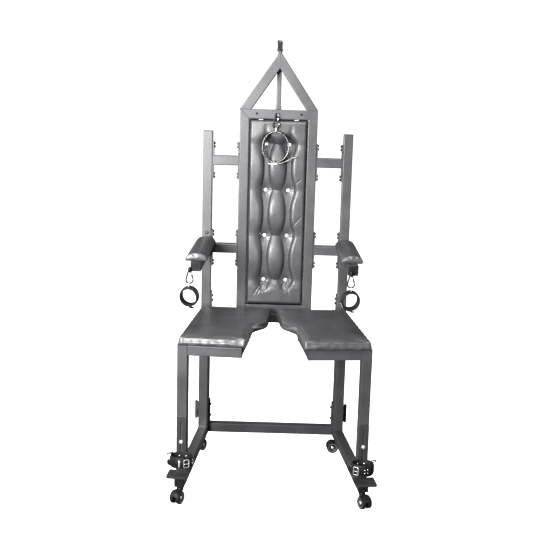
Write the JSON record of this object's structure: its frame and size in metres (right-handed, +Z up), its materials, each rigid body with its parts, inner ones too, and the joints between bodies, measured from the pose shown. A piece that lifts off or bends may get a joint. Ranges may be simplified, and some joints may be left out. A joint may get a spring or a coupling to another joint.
{
  "type": "restraint chair",
  "caption": "Padded restraint chair of square steel tube: tall tufted back under a gable, hinged seat halves that swing open on castors, arm rests, footrests, cuffs and a collar.",
  "frame": {"origin": "on the floor, under the middle of the chair's bounding box", "axes": "+Z up, the sitter faces -Y, +X to the right seen from the front"},
  "size_m": [0.801, 0.7162, 1.7835],
  "materials": {
    "powder_coat": "satin charcoal powder coat with a faint orange peel",
    "black_steel": "satin black plated steel",
    "leather": "glossy grained artificial leather",
    "chrome": "polished",
    "tyre": "matt rubber"
  },
  "bodies": {
    "root": {"lower_cross_rail": "powder_coat", "seat_cross_rail": "powder_coat", "back_top_rail": "powder_coat", "back_bottom_rail": "powder_coat", "mast_sleeve": "powder_coat", "post_left": "powder_coat", "post_right": "powder_coat", "upper_rail_left": "powder_coat", "upper_rail_right": "powder_coat", "arm_rail_left": "powder_coat", "arm_rail_right": "powder_coat", "back_stile_left": "powder_coat", "back_stile_right": "powder_coat", "gable_left": "powder_coat", "gable_right": "powder_coat", "arm_tube_left": "powder_coat", "arm_tube_right": "powder_coat", "back_cushion": "leather", "arm_pad_left": "leather", "arm_pad_right": "leather", "collar_eye": "black_steel", "arm_eye_left": "black_steel", "arm_eye_right": "black_steel"},
    "mast": {"mast_tube": "powder_coat"},
    "seat_left": {"base_rail_left": "powder_coat", "rear_stile_left": "powder_coat", "front_leg_left": "powder_coat", "seat_front_rail_left": "powder_coat", "seat_side_rail_left": "powder_coat", "seat_mid_rail_left": "powder_coat", "seat_inner_rail_left": "powder_coat", "seat_pad_left": "leather", "foot_clamp_bolt_left": "chrome"},
    "footrest_left": {"footrest_left": "black_steel", "ankle_cuff_left": "leather"},
    "castor_front_left": {"castor_fork_front_left": "black_steel"},
    "wheel_front_left": {"castor_wheel_front_left": "tyre"},
    "castor_rear_left": {"castor_fork_rear_left": "black_steel"},
    "wheel_rear_left": {"castor_wheel_rear_left": "tyre"},
    "wrist_hook_left": {"wrist_left_carabiner": "black_steel"},
    "wrist_left": {"wrist_cuff_left": "leather"},
    "seat_right": {"base_rail_right": "powder_coat", "rear_stile_right": "powder_coat", "front_leg_right": "powder_coat", "seat_front_rail_right": "powder_coat", "seat_side_rail_right": "powder_coat", "seat_mid_rail_right": "powder_coat", "seat_inner_rail_right": "powder_coat", "seat_pad_right": "leather", "foot_clamp_bolt_right": "chrome"},
    "footrest_right": {"footrest_right": "black_steel", "ankle_cuff_right": "leather"},
    "castor_front_right": {"castor_fork_front_right": "black_steel"},
    "wheel_front_right": {"castor_wheel_front_right": "tyre"},
    "castor_rear_right": {"castor_fork_rear_right": "black_steel"},
    "wheel_rear_right": {"castor_wheel_rear_right": "tyre"},
    "wrist_hook_right": {"wrist_right_carabiner": "black_steel"},
    "wrist_right": {"wrist_cuff_right": "leather"},
    "collar_hook": {"collar_carabiner": "black_steel"},
    "collar": {"collar": "leather"}
  },
  "joints": [
    {"name": "seat_hinge_left", "type": "hinge", "parent": "root", "child": "seat_left", "pos_m": [-0.34356, 0.29034, 0.3], "axis": [0, 0, -1], "range_deg": [-4.25, 40.75]},
    {"name": "footrest_slide_left", "type": "slide", "parent": "seat_left", "child": "footrest_left", "axis": [0, 0, 1], "range_m": [-0.011, 0.023]},
    {"name": "castor_swivel_front_left", "type": "hinge", "parent": "seat_left", "child": "castor_front_left", "pos_m": [-0.35161, -0.29017, 0.06], "axis": [0, 0, 1], "continuous": true},
    {"name": "wheel_spin_front_left", "type": "hinge", "parent": "castor_front_left", "child": "wheel_front_left", "pos_m": [-0.3609, -0.3101, 0.025], "axis": [0.9063, -0.4226, 0], "continuous": true},
    {"name": "castor_swivel_rear_left", "type": "hinge", "parent": "seat_left", "child": "castor_rear_left", "pos_m": [-0.31033, 0.2653, 0.06], "axis": [0, 0, 1], "continuous": true},
    {"name": "wheel_spin_rear_left", "type": "hinge", "parent": "castor_rear_left", "child": "wheel_rear_left", "pos_m": [-0.31962, 0.24536, 0.025], "axis": [0.9063, -0.4226, 0], "continuous": true},
    {"name": "wrist_hook_swing_left", "type": "hinge", "parent": "root", "child": "wrist_hook_left", "pos_m": [-0.33456, -0.17947, 0.885], "axis": [-1, 0, 0], "range_deg": [-30, 85]},
    {"name": "wrist_swing_left", "type": "hinge", "parent": "wrist_hook_left", "child": "wrist_left", "pos_m": [-0.33456, -0.17947, 0.8374], "axis": [-1, 0, 0], "range_deg": [-45, 45]},
    {"name": "seat_hinge_right", "type": "hinge", "parent": "root", "child": "seat_right", "pos_m": [0.32044, 0.29034, 0.3], "axis": [0, 0, 1], "range_deg": [-6.35, 38.65]},
    {"name": "footrest_slide_right", "type": "slide", "parent": "seat_right", "child": "footrest_right", "axis": [0, 0, 1], "range_m": [0, 0.034]},
    {"name": "castor_swivel_front_right", "type": "hinge", "parent": "seat_right", "child": "castor_front_right", "pos_m": [0.34974, -0.28948, 0.06], "axis": [0, 0, 1], "continuous": true},
    {"name": "wheel_spin_front_right", "type": "hinge", "parent": "castor_front_right", "child": "wheel_front_right", "pos_m": [0.35904, -0.30942, 0.025], "axis": [0.9063, 0.4226, 0], "continuous": true},
    {"name": "castor_swivel_rear_right", "type": "hinge", "parent": "seat_right", "child": "castor_rear_right", "pos_m": [0.28814, 0.2641, 0.06], "axis": [0, 0, 1], "continuous": true},
    {"name": "wheel_spin_rear_right", "type": "hinge", "parent": "castor_rear_right", "child": "wheel_rear_right", "pos_m": [0.26622, 0.26218, 0.025], "axis": [0.0872, -0.9962, 0], "continuous": true},
    {"name": "wrist_hook_swing_right", "type": "hinge", "parent": "root", "child": "wrist_hook_right", "pos_m": [0.28144, -0.17947, 0.885], "axis": [-1, 0, 0], "range_deg": [-30, 85]},
    {"name": "wrist_swing_right", "type": "hinge", "parent": "wrist_hook_right", "child": "wrist_right", "pos_m": [0.28144, -0.17947, 0.8374], "axis": [-1, 0, 0], "range_deg": [-45, 45]},
    {"name": "collar_hook_swing", "type": "hinge", "parent": "root", "child": "collar_hook", "pos_m": [-0.02256, 0.26683, 1.468], "axis": [-1, 0, 0], "range_deg": [0, 85]},
    {"name": "collar_swing", "type": "hinge", "parent": "collar_hook", "child": "collar", "pos_m": [-0.02256, 0.26683, 1.4204], "axis": [-1, 0, 0], "range_deg": [0, 60]},
    {"name": "mast_slide", "type": "slide", "parent": "root", "child": "mast", "axis": [0, 0, 1], "range_m": [-0.025, 0.15]}
  ]
}
